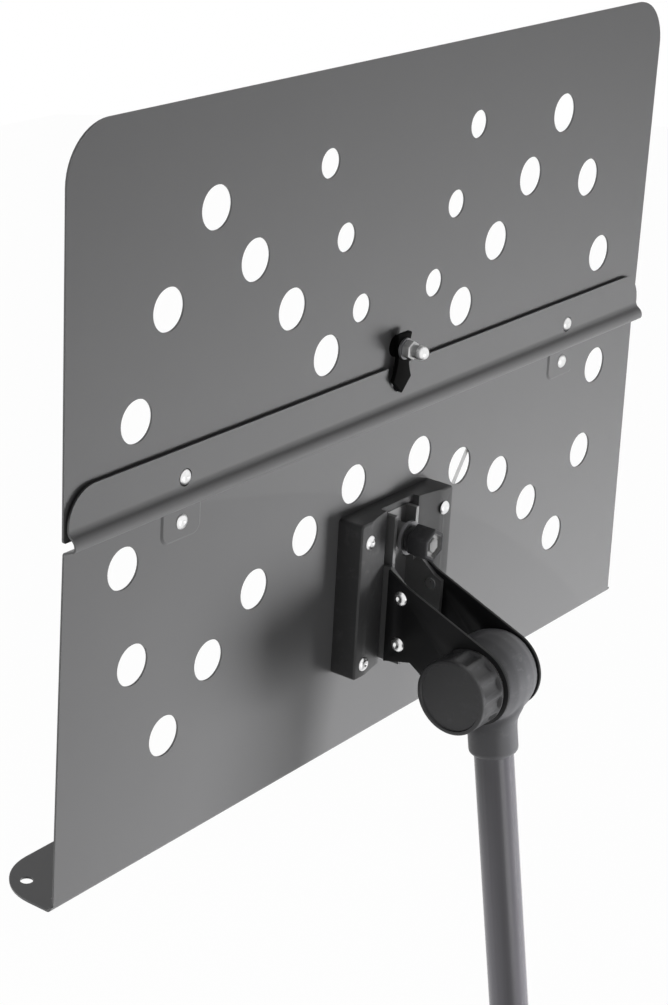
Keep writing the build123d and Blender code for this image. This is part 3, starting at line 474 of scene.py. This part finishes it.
def turned(name, rings, vertices=64):
    """A round piece on the Z axis from (height, radius) pairs, in millimetres."""
    deselect()
    height, radius = rings[0]
    place = (0.0, 0.0, height)
    bpy.ops.mesh.primitive_circle_add(vertices=vertices, radius=radius, fill_type="NGON", location=place)
    piece = bpy.context.object
    piece.name = name
    bpy.ops.object.transform_apply(location=True, rotation=True, scale=True)
    bpy.ops.object.mode_set(mode="EDIT")
    bpy.ops.mesh.select_all(action="SELECT")
    for next_height, next_radius in rings[1:]:
        rise = (0.0, 0.0, next_height - height)
        bpy.ops.mesh.extrude_region_move(TRANSFORM_OT_translate={"value": rise})
        spread = next_radius / radius
        bpy.ops.transform.resize(value=(spread, spread, 1.0), center_override=(0.0, 0.0, 0.0))
        height, radius = next_height, next_radius
    bpy.ops.mesh.select_all(action="SELECT")
    bpy.ops.mesh.normals_make_consistent(inside=False)
    bpy.ops.object.mode_set(mode="OBJECT")
    return piece


def domed(height, radius, tall, steps=6):
    """Rings of a dome from its foot to its nearly closed top."""
    turns = [pi / 2.0 * step / steps for step in range(steps + 1)]
    return [(height + tall * sin(turn), max(radius * cos(turn), 0.15)) for turn in turns]


def reach(node, origin, axis):
    """Lowest and highest place of a node along an axis through an origin, in millimetres."""
    part = frame["nodes"][node]
    places = [(part.matrix_world @ vertex.co - origin).dot(axis) / MM for vertex in part.data.vertices]
    return min(places), max(places)


def lay_across():
    """Turns the piece just made from the Z axis to the X axis."""
    bpy.ops.transform.rotate(value=pi / 2.0, orient_axis="Y", center_override=(0.0, 0.0, 0.0))
    bpy.ops.object.transform_apply(location=True, rotation=True, scale=True)


def modify(piece, kind, **settings):
    """Adds one modifier and applies it at once."""
    deselect()
    piece.select_set(True)
    bpy.context.view_layer.objects.active = piece
    modifier = piece.modifiers.new(kind.lower(), kind)
    for key, value in settings.items():
        setattr(modifier, key, value)
    bpy.ops.object.modifier_apply(modifier=modifier.name)


def cut(piece, tool, operation="DIFFERENCE"):
    """Cuts a tool out of a piece, or joins it on, and removes the tool."""
    modify(piece, "BOOLEAN", object=tool, operation=operation, solver="EXACT")
    bpy.data.objects.remove(tool)


def settle(piece, place, material, body, smooth=SMOOTH):
    """Moves a piece made in millimetres to its place, smooths it and hands it to its body."""
    deselect()
    piece.matrix_world = place @ Matrix.Scale(MM, 4)
    piece.select_set(True)
    bpy.context.view_layer.objects.active = piece
    bpy.ops.object.transform_apply(location=True, rotation=True, scale=True)
    bpy.ops.object.shade_smooth_by_angle(angle=smooth)
    piece.data.materials.clear()
    piece.data.materials.append(material)
    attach(piece, body)
    return piece


def turn_of(co):
    """Angle of a point round the Z axis, from 0 to a full turn."""
    return atan2(co.y, co.x) % (2.0 * pi)


def frame_at(origin, x_axis, z_axis):
    """A place whose Z runs along z_axis and X along x_axis."""
    z = Vector(z_axis).normalized()
    y = z.cross(Vector(x_axis)).normalized()
    x = y.cross(z)
    place = Matrix((x, y, z)).transposed().to_4x4()
    place.translation = origin
    return place


def dress(material, *nodes):
    """Gives carried-over nodes one material."""
    for name in nodes:
        mesh = frame["nodes"][name].data
        mesh.materials.clear()
        mesh.materials.append(material)


# ---- Operators ---------------------------------------------------------------------------------------------


class STAND_OT_finishes(bpy.types.Operator):
    """Gives every carried-over node its finish"""

    bl_idname = "music_stand.finishes"
    bl_label = "Finishes"

    def execute(self, context):
        tones = context.scene.stand_finishes
        desk = powder_coat("desk powder coat", tuple(tones.desk), gloss=0.15)
        dress(desk, "lower_panel", "upper_panel")
        arm = powder_coat("arm black coat", tuple(tones.arm), 0.2, 0.4, grain=0.4, gloss=0.25)
        dress(arm, "arm_plate_left", "arm_plate_right")
        # Painted light: this coat is paler than the desk's, so that the shaded web of the bracket shows light
        # grey.
        bracket = powder_coat("bracket coat", tuple(tones.bracket), 0.2, 0.4, grain=0.4)
        dress(bracket, "fork_bracket")
        latch = powder_coat("latch black coat", tuple(tones.latch), 0.2, 0.6, grain=0.4, gloss=0.05)
        dress(latch, "latch_plate", "latch_spacer")
        dress(moulded("dock moulding", tuple(tones.dock), gloss=0.3), "dock")
        dress(moulded("head moulding", tuple(tones.head), roughness=0.46), "tilt_head")
        dress(moulded("knob moulding", tuple(tones.knob), roughness=0.45, gloss=0.35), "tilt_knob")
        small_knob = moulded("small knob moulding", tuple(tones.small_knob), roughness=0.4, gloss=0.3)
        dress(small_knob, "clamp_knob", "height_knob")
        dress(moulded("clutch moulding", tuple(tones.small_knob), gloss=0.35), "clutch_housing")
        plated = bright_metal("bright zinc", tuple(tones.plated))
        dress(plated, "dock_rivets", "hinge_rivets_lower", "hinge_rivets_upper", "hinge_pins", "arm_rivets")
        dress(plated, "hinge_lower_leaf_left", "hinge_lower_leaf_right")
        dress(plated, "hinge_upper_leaf_left", "hinge_upper_leaf_right")
        dress(plated, "latch_bolt", "latch_nut", "head_screw")
        dress(plated, "tilt_bolt", "knob_washer", "page_wire_pins", "base_washer", "base_nut")
        dress(bright_metal("dull steel", (0.3, 0.3, 0.31), roughness=0.42), "clamp_washer", "latch_washer")
        dress(bright_metal("spring wire", (0.6, 0.6, 0.6)), "page_wire_left", "page_wire_right")
        dress(drawn_tube("tinted tube", tuple(tones.tube), roughness=0.24), "upper_tube")
        base = powder_coat("base black coat", tuple(tones.base), 0.15, 0.4, grain=0.35)
        dress(base, "lower_tube", "leg_front", "leg_left", "leg_right", "base_spindle")
        nylon = natural_nylon("natural nylon", tuple(tones.nylon))
        dress(nylon, "clutch_liner", "clutch_shoe", "guide_bush")
        washers = moulded("washer moulding", tuple(tones.small_knob), roughness=0.55, gloss=0.25)
        dress(washers, "friction_washers")
        dress(rubber("foot rubber", tuple(tones.rubber)), "foot_front", "foot_left", "foot_right")
        return {"FINISHED"}


class STAND_OT_eased_edges(bpy.types.Operator):
    """Eases the pressed and moulded edges of the arm, dock and latch"""

    bl_idname = "music_stand.eased_edges"
    bl_label = "Eased Edges"

    def execute(self, context):
        for node, width in EASED_EDGES.items():
            self.ease(node, width)
        return {"FINISHED"}

    def ease(self, node, width):
        """Bevels a copy of the node's mesh, which takes the node's place."""
        part = frame["nodes"][node]
        piece = bpy.data.objects.new(node + "_eased", part.data.copy())
        bpy.context.collection.objects.link(piece)
        edit(piece)
        bpy.ops.mesh.select_all(action="SELECT")
        bpy.ops.mesh.remove_doubles(threshold=SAME_PLACE)
        bpy.ops.mesh.dissolve_limited(angle_limit=FLAT)
        bpy.ops.object.mode_set(mode="OBJECT")
        modify(piece, "BEVEL", width=width * MM, segments=3, limit_method="ANGLE", angle_limit=SHARP)
        bpy.ops.object.shade_smooth_by_angle(angle=SMOOTH)
        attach(piece, BODY_OF[node])
        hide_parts(node)


class STAND_OT_tilt_knob(bpy.types.Operator):
    """Models the fluted tilt knob, with its rimmed face and moulded hub"""

    bl_idname = "music_stand.tilt_knob"
    bl_label = "Tilt Knob"

    def execute(self, context):
        shape = context.scene.stand_shapes
        radius = shape.knob_radius / MM
        start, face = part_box("tilt_knob")[0].x / MM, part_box("tilt_knob")[1].x / MM
        sides = shape.knob_flutes * len(KNOB_HOLLOW)
        knob = add_cylinder("tilt_knob_grip", radius, start, face, sides)
        self.cut_rings(knob, start, face)
        self.press_hollows(knob, shape, start, face)
        self.sink_face(knob, radius, face)
        place = frame_at(Vector((0.0, PIVOT.y, PIVOT.z)), (0.0, 1.0, 0.0), ACROSS)
        grip = moulded("knob grip moulding", tuple(context.scene.stand_finishes.knob), roughness=0.42)
        settle(knob, place, grip, "tilt_knob")
        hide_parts("tilt_knob")
        return {"FINISHED"}

    def cut_rings(self, knob, start, face):
        """Cuts the grip where its hollows start, are full and end."""
        edit(knob)
        heights = [start + rise for rise in KNOB_FOOT] + [face - drop for drop in KNOB_SHOULDER]
        for height in heights:
            bpy.ops.mesh.select_all(action="SELECT")
            bpy.ops.mesh.bisect(plane_co=(0.0, 0.0, height), plane_no=(0.0, 0.0, 1.0))

    def press_hollows(self, knob, shape, start, face):
        """Presses the finger hollows into the grip, one line of points across all of them at a time."""
        per_flute = len(KNOB_HOLLOW)
        step = 2.0 * pi / (shape.knob_flutes * per_flute)
        depth = shape.knob_flute_depth / shape.knob_radius
        low, high = start + sum(KNOB_FOOT) / 2.0, face - sum(KNOB_SHOULDER) / 2.0
        for index, share in enumerate(KNOB_HOLLOW):

            def in_flute(co, index=index):
                turn = round(turn_of(co) / step) % per_flute
                return turn == index and low < co.z < high and co.xy.length > shape.knob_radius / MM * 0.9

            pick(knob, in_flute, "vertices")
            ratio = 1.0 - depth * share
            bpy.ops.transform.resize(value=(ratio, ratio, 1.0), center_override=(0.0, 0.0, 0.0))

    def sink_face(self, knob, radius, face):
        """Sinks the face inside its rim and rounds the rim."""
        pick(knob, lambda part: part.normal.z > 0.9 and part.center.z > face - 0.1)
        bpy.ops.mesh.inset(thickness=KNOB_RIM)
        bpy.ops.mesh.inset(thickness=KNOB_STEP)
        bpy.ops.transform.translate(value=(0.0, 0.0, -KNOB_SINK))
        bpy.ops.mesh.inset(thickness=KNOB_FACE)
        pick(knob, lambda a, b: min(a.z, b.z) > face - 0.01 and a.xy.length > radius - 0.1, "edges")
        bpy.ops.mesh.bevel(offset=KNOB_ROUND, segments=4)
        bpy.ops.object.mode_set(mode="OBJECT")


class STAND_OT_tilt_head(bpy.types.Operator):
    """Models the moulded tilt head with its blended neck and socket"""

    bl_idname = "music_stand.tilt_head"
    bl_label = "Tilt Head"

    def execute(self, context):
        low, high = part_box("tilt_head")
        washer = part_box("friction_washers")
        half = washer[1].x / MM - HEAD_AIR
        radius = (high.z - PIVOT.z) / MM
        drop = (PIVOT.z - low.z) / MM
        head = self.barrel(half, radius)
        cut(head, self.neck((high.x - low.x) / 2.0 / MM, drop), "UNION")
        modify(head, "REMESH", mode="VOXEL", voxel_size=HEAD_VOXEL)
        modify(head, "SMOOTH", factor=0.5, iterations=HEAD_SMOOTHING)
        cut(head, add_cylinder("bore", BORE_RADIUS, -drop - PAST, -drop + BORE_DEPTH))
        self.washer_seats(head, half, (washer[1].z - PIVOT.z) / MM + WASHER_SEAT_AIR)
        shell = moulded("head shell moulding", tuple(context.scene.stand_finishes.head), roughness=0.46)
        settle(head, Matrix.Translation(PIVOT), shell, "mast", HEAD_SMOOTH)
        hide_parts("tilt_head")
        return {"FINISHED"}

    def barrel(self, half, radius):
        """The crowned barrel round the tilt bolt."""
        rings = [(-half + inwards, radius + past) for inwards, past in HEAD_EDGE]
        rings += [(-half * 0.5, radius + HEAD_CROWN[0]), (0.0, radius + HEAD_CROWN[1])]
        rings += [(-height, ring) for height, ring in reversed(rings[:-1])]
        head = turned("tilt_head_shell", rings, 128)
        lay_across()
        return head

    def neck(self, socket, drop):
        """The round socket, which widens front to back and narrows across on its way up into the barrel."""
        foot = [(-drop, socket - NECK_FOOT), (-drop + NECK_FOOT, socket)]
        neck = turned("neck", foot + [(height, socket) for height, across, along in NECK], 96)
        for height, across, along in NECK:
            edit(neck, "VERT")
            pick(neck, lambda co, height=height: abs(co.z - height) < 0.2, "vertices")
            bpy.ops.transform.resize(value=(across, along, 1.0), center_override=(0.0, 0.0, 0.0))
            bpy.ops.object.mode_set(mode="OBJECT")
        return neck

    def washer_seats(self, head, half, radius):
        """Sinks a flat seat for the friction washer into each side."""
        for low in (half - WASHER_SEAT_DEPTH, -half - PAST):
            seat = add_cylinder("washer_seat", radius, low, low + WASHER_SEAT_DEPTH + PAST)
            lay_across()
            cut(head, seat)


class STAND_OT_latch_nut(bpy.types.Operator):
    """Models the latch's hexagon nut with its plated dome; the hexagon and neck are a darker copy of the plated
    metal, painted shade
    """

    bl_idname = "music_stand.latch_nut"
    bl_label = "Latch Nut"

    def execute(self, context):
        axis_point = Vector(JOINTS["latch_turn"]["pos_m"])
        start, end = reach("latch_nut", axis_point, BACK)
        rings = [(start, NUT_RADIUS - NUT_EDGE), (start + NUT_EDGE, NUT_RADIUS)]
        rings += [(start + NUT_LENGTH - NUT_EDGE, NUT_RADIUS), (start + NUT_LENGTH, NUT_TOP_RADIUS)]
        nut = turned("latch_nut_hexagon", rings, 6)
        edit(nut)
        bpy.ops.mesh.select_all(action="SELECT")
        bpy.ops.mesh.bevel(offset=NUT_ROUND, segments=3)
        bpy.ops.object.mode_set(mode="OBJECT")
        foot = start + NUT_NECK_END
        neck = [(start + NUT_NECK_START, NUT_NECK_RADIUS), (foot, NUT_NECK_RADIUS)]
        neck += [(foot + DOME_EDGE, DOME_RADIUS)]
        neck += domed(start + DOME_START, DOME_RADIUS, end - start - DOME_START, steps=8)
        cut(nut, turned("dome", neck, 48), "UNION")
        # Painted shade: a darker copy of the plated metal for the hexagon and neck.
        dull = bright_metal("dull nut", (0.5, 0.5, 0.5), roughness=0.35)
        settle(nut, frame_at(axis_point, ACROSS, BACK), dull, BODY_OF["latch_nut"])
        nut.data.materials.append(frame["nodes"]["latch_nut"].data.materials[0])
        # Painted shade: the hexagon and neck take the darker metal, and the dome takes the bright plated one.
        for face in nut.data.polygons:
            face.material_index = int((face.center - axis_point).dot(BACK) / MM > foot + DOME_EDGE)
        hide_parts("latch_nut")
        return {"FINISHED"}


class STAND_OT_clamp_knob(bpy.types.Operator):
    """Models the clamp knob: a short hexagon grip with a hollowed, scuffed end painted pale as a highlight, and a
    collar
    """

    bl_idname = "music_stand.clamp_knob"
    bl_label = "Clamp Knob"

    def execute(self, context):
        axis_point = Vector(JOINTS["clamp_knob_turn"]["pos_m"])
        start, end = reach("clamp_knob", axis_point, BACK)
        grip = end - CLAMP_GRIP
        rings = [(grip, CLAMP_RADIUS - CLAMP_EDGE[0]), (grip + CLAMP_BEVEL, CLAMP_RADIUS)]
        rings += [(end - CLAMP_BEVEL, CLAMP_RADIUS), (end, CLAMP_RADIUS - CLAMP_EDGE[1])]
        knob = turned("clamp_knob_grip", rings, 6)
        edit(knob)
        pick(knob, lambda face: face.normal.z > 0.9)
        for ring, slope, rise in CLAMP_END:
            bpy.ops.mesh.inset(thickness=ring)
            bpy.ops.mesh.inset(thickness=slope)
            bpy.ops.transform.translate(value=(0.0, 0.0, rise))
        bpy.ops.object.mode_set(mode="OBJECT")
        modify(knob, "BEVEL", width=CLAMP_ROUND, segments=3, limit_method="ANGLE", angle_limit=SHARP)
        collar = grip - CLAMP_COLLAR_LENGTH
        stud = [(start, CLAMP_STUD - STUD_TIP), (start + STUD_TIP, CLAMP_STUD), (collar - 0.2, CLAMP_STUD)]
        stud += [(collar, CLAMP_COLLAR[0]), (grip + CLAMP_OVERLAP, CLAMP_COLLAR[1])]
        cut(knob, turned("stud", stud), "UNION")
        black = tuple(context.scene.stand_finishes.small_knob)
        worn = moulded("clamp knob moulding", black, roughness=0.45, wear=1.0, gloss=0.35)
        settle(knob, frame_at(axis_point, ACROSS, BACK), worn, BODY_OF["clamp_knob"])
        # Painted highlight: the end face inside the rim takes this pale colour, and its moulding also carries
        # scuffs.
        pale = (0.2, 0.2, 0.2)
        knob.data.materials.append(moulded("worn knob end", pale, roughness=0.6, grain=1.0, wear=1.0))
        # The faces of the hollowed end get the pale material, which is a painted highlight.
        for face in knob.data.polygons:
            away = face.center - axis_point
            high = away.dot(BACK) / MM
            inside = (away - BACK * away.dot(BACK)).length / MM < CLAMP_HIGHLIGHT_END[0]
            face.material_index = int(inside and end - CLAMP_HIGHLIGHT_END[1] < high < end - CLAMP_HIGHLIGHT_END[2])
        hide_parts("clamp_knob")
        return {"FINISHED"}


class STAND_OT_studio(bpy.types.Operator):
    """Adds the floor, lights, room and camera"""

    bl_idname = "music_stand.studio"
    bl_label = "Studio"

    def execute(self, context):
        studio = context.scene.stand_studio
        self.floor()
        self.room(context.scene, studio)
        low, aim = (-0.92, 0.94, 0.24), (-0.13, 0.04, 0.55)
        behind = self.lamp("low light behind", low, aim, 0.6, studio.key_power)
        behind.data.spread = radians(60.0)
        self.lamp("light in front", (1.15, -1.7, 1.5), (0.0, 0.0, 0.75), 1.2, studio.fill_power)
        strip = self.lamp("strip light", (0.22, 0.94, 0.45), (0.0, 0.07, 0.5), 0.45, studio.strip_power)
        strip.data.shape = "RECTANGLE"
        strip.data.size_y = 0.5
        strip.visible_glossy = True
        self.camera(context.scene, studio)
        context.scene.view_settings.view_transform = "Standard"
        return {"FINISHED"}

    def floor(self):
        """A pale floor that the camera and reflections see as nearly white."""
        deselect()
        bpy.ops.mesh.primitive_plane_add(size=FLOOR_SIZE)
        floor = bpy.context.object
        floor.name = "floor"
        pale = Finish("pale floor")
        pale.finish(colour=(0.9, 0.9, 0.9), roughness=0.9)
        path = pale.node("ShaderNodeLightPath")
        seen = Term(pale, path.outputs["Is Camera Ray"]) + Term(pale, path.outputs["Is Glossy Ray"])
        seen = (seen + Term(pale, path.outputs["Is Transmission Ray"])).clamped()
        glow = pale.node("ShaderNodeEmission", None, {"Color": (1.0, 1.0, 1.0, 1.0), "Strength": 1.0})
        sockets = {0: seen * FLOOR_SHOWN, 1: pale.shader.outputs[0], 2: glow.outputs[0]}
        mix = pale.node("ShaderNodeMixShader", None, sockets)
        pale.feed(pale.tree.nodes["Material Output"].inputs["Surface"], mix.outputs[0])
        floor.data.materials.append(pale.material)

    def room(self, scene, studio):
        """A white surrounding for the camera and reflections, and a faint even light for the rest."""
        world = bpy.data.worlds.new("pale room")
        scene.world = world
        world.use_nodes = True
        tree = world.node_tree
        tree.nodes.clear()
        path = tree.nodes.new("ShaderNodeLightPath")
        sums = []
        for name in ("Is Glossy Ray", "Is Transmission Ray"):
            add = tree.nodes.new("ShaderNodeMath")
            add.operation = "ADD"
            add.use_clamp = True
            tree.links.new(sums[-1] if sums else path.outputs["Is Camera Ray"], add.inputs[0])
            tree.links.new(path.outputs[name], add.inputs[1])
            sums.append(add.outputs[0])
        lit = tree.nodes.new("ShaderNodeBackground")
        lit.inputs[0].default_value = (1.0, 1.0, 1.0, 1.0)
        lit.inputs[1].default_value = studio.room_light
        shown = tree.nodes.new("ShaderNodeBackground")
        shown.inputs[0].default_value = (1.0, 1.0, 1.0, 1.0)
        shown.inputs[1].default_value = 1.0
        mix = tree.nodes.new("ShaderNodeMixShader")
        output = tree.nodes.new("ShaderNodeOutputWorld")
        tree.links.new(sums[-1], mix.inputs[0])
        tree.links.new(lit.outputs[0], mix.inputs[1])
        tree.links.new(shown.outputs[0], mix.inputs[2])
        tree.links.new(mix.outputs[0], output.inputs[0])

    def lamp(self, name, place, target, size, power):
        """A lamp that shapes the surfaces but isn't mirrored in them. Its places and size are in metres."""
        deselect()
        bpy.ops.object.light_add(type="AREA", location=place)
        lamp = bpy.context.object
        lamp.name = name
        lamp.rotation_euler = (Vector(target) - Vector(place)).to_track_quat("-Z", "Y").to_euler()
        lamp.data.shape = "SQUARE"
        lamp.data.size = size
        lamp.data.energy = power
        lamp.visible_camera = False
        lamp.visible_glossy = False
        return lamp

    def camera(self, scene, studio):
        deselect()
        bpy.ops.object.camera_add(location=studio.camera_place, rotation=studio.camera_turn)
        camera = bpy.context.object
        camera.name = "camera"
        camera.data.sensor_fit = "VERTICAL"
        camera.data.sensor_height = 36.0
        camera.data.lens = studio.lens
        camera.data.clip_start = 0.02
        camera.data.dof.use_dof = False
        scene.camera = camera


class STAND_PT_panel(bpy.types.Panel):
    """Lists the stand's pieces and settings"""

    bl_label = "Music Stand"
    bl_idname = "STAND_PT_panel"
    bl_space_type = "VIEW_3D"
    bl_region_type = "UI"
    bl_category = "Music Stand"

    def draw(self, context):
        for group in (context.scene.stand_finishes, context.scene.stand_shapes, context.scene.stand_studio):
            box = self.layout.box()
            for name in group.__annotations__:
                box.prop(group, name)
        for operator in OPERATORS:
            self.layout.operator(operator.bl_idname)


OPERATORS = (
    STAND_OT_finishes,
    STAND_OT_eased_edges,
    STAND_OT_tilt_knob,
    STAND_OT_tilt_head,
    STAND_OT_latch_nut,
    STAND_OT_clamp_knob,
    STAND_OT_studio,
)
CLASSES = (StandFinishes, StandShapes, StandStudio, *OPERATORS, STAND_PT_panel)


def register():
    for item in CLASSES:
        bpy.utils.register_class(item)
    bpy.types.Scene.stand_finishes = bpy.props.PointerProperty(type=StandFinishes)
    bpy.types.Scene.stand_shapes = bpy.props.PointerProperty(type=StandShapes)
    bpy.types.Scene.stand_studio = bpy.props.PointerProperty(type=StandStudio)


def unregister():
    del bpy.types.Scene.stand_finishes
    del bpy.types.Scene.stand_shapes
    del bpy.types.Scene.stand_studio
    for item in reversed(CLASSES):
        bpy.utils.unregister_class(item)


def main():
    register()
    for operator in OPERATORS:
        group, name = operator.bl_idname.split(".")
        getattr(getattr(bpy.ops, group), name)()


if __name__ == "__main__":
    main()
